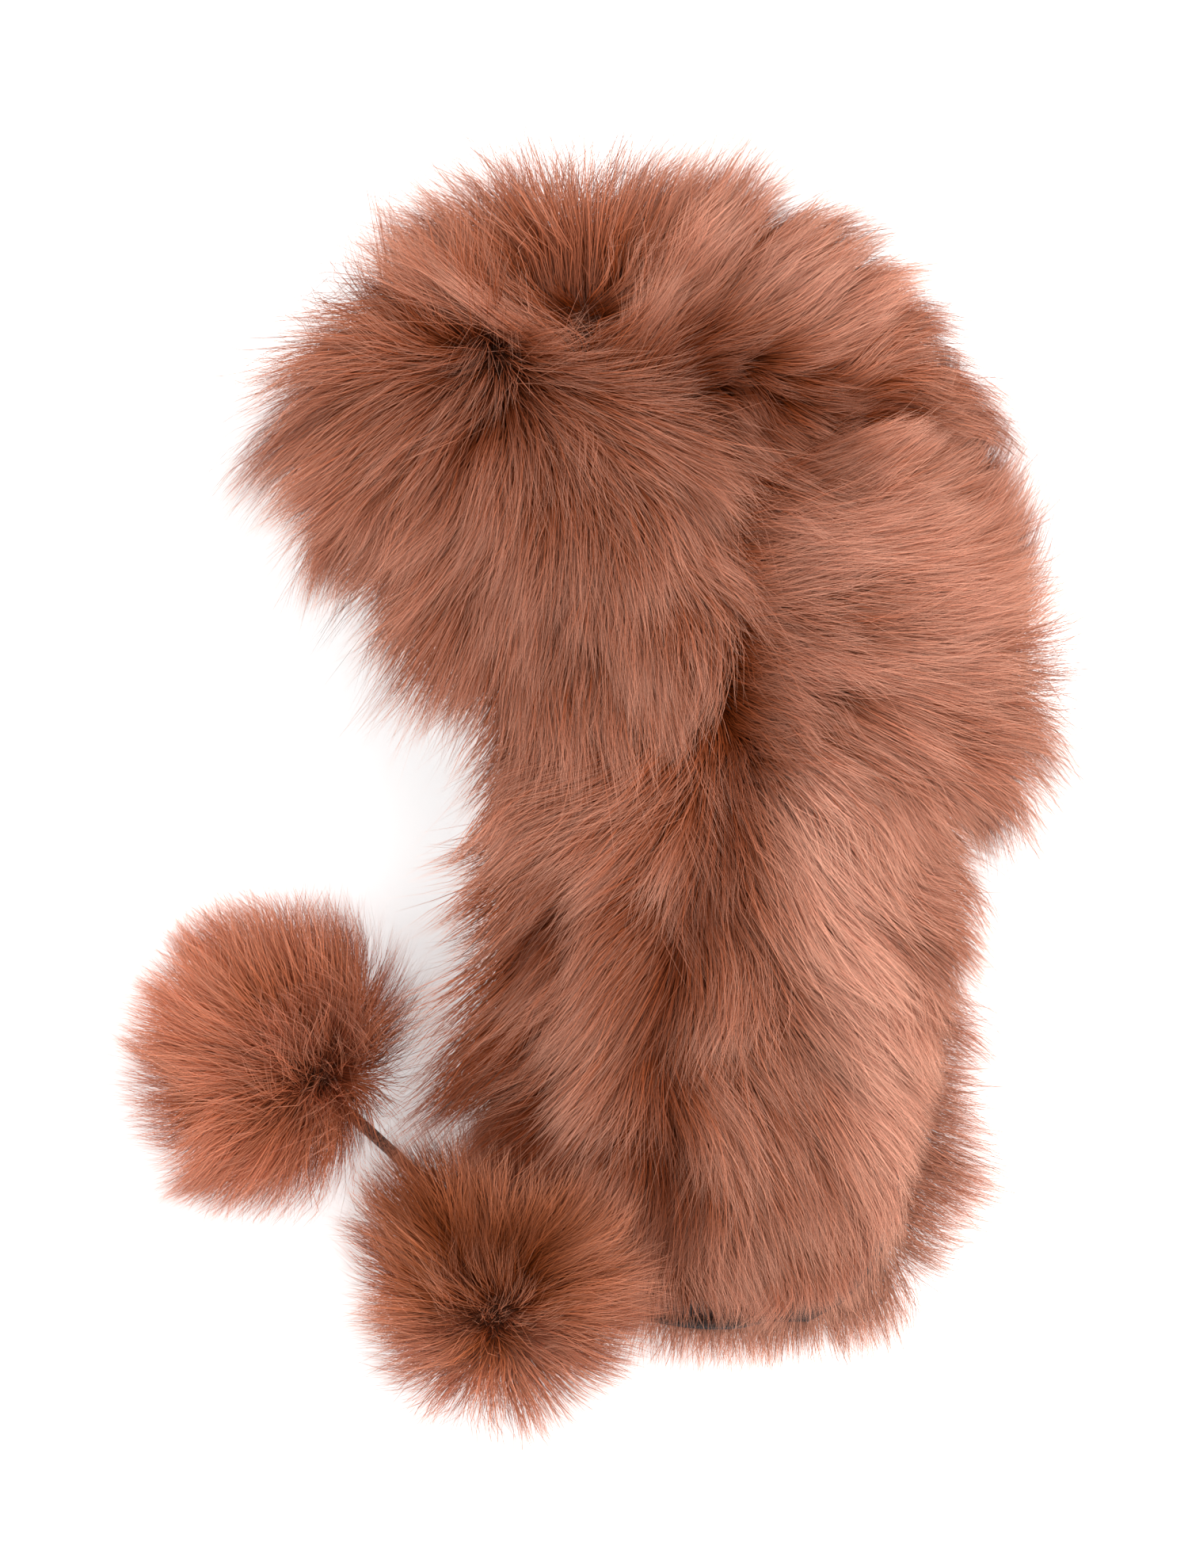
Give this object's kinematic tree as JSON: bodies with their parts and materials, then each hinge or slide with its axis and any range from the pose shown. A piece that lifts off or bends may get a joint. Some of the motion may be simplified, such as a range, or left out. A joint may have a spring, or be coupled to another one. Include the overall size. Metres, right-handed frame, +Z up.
{
  "type": "fur trapper hat",
  "caption": "Long-haired fur trapper hat lying on its side: hollow crown, turned-up brow flap, neck band, long ear flaps and fur pompoms on tie cords.",
  "frame": {"origin": "middle of the hat's footprint on the surface it lies on, without its ties", "axes": "+Z up from the surface, towards the hat's left side; +Y towards the top of the crown; +X towards the back of the hat"},
  "size_m": [0.3092, 0.4256, 0.154],
  "materials": {
    "fur": "long soft dyed fur, dusty rose brown with darker roots and paler tips",
    "pompom_fur": "long fluffy dyed fur, dusty rose brown",
    "lining": "black woven lining",
    "tie_cord": "dark braided cord"
  },
  "bodies": {
    "root": {"crown_left": "fur", "crown_right": "fur", "brow_flap": "fur", "neck_band": "fur", "ear_flap_left": "fur", "ear_flap_right": "fur", "ear_lining_left": "lining", "cord_left": "tie_cord", "cord_right": "tie_cord", "pompom_left": "pompom_fur", "pompom_right": "pompom_fur"}
  },
  "joints": []
}
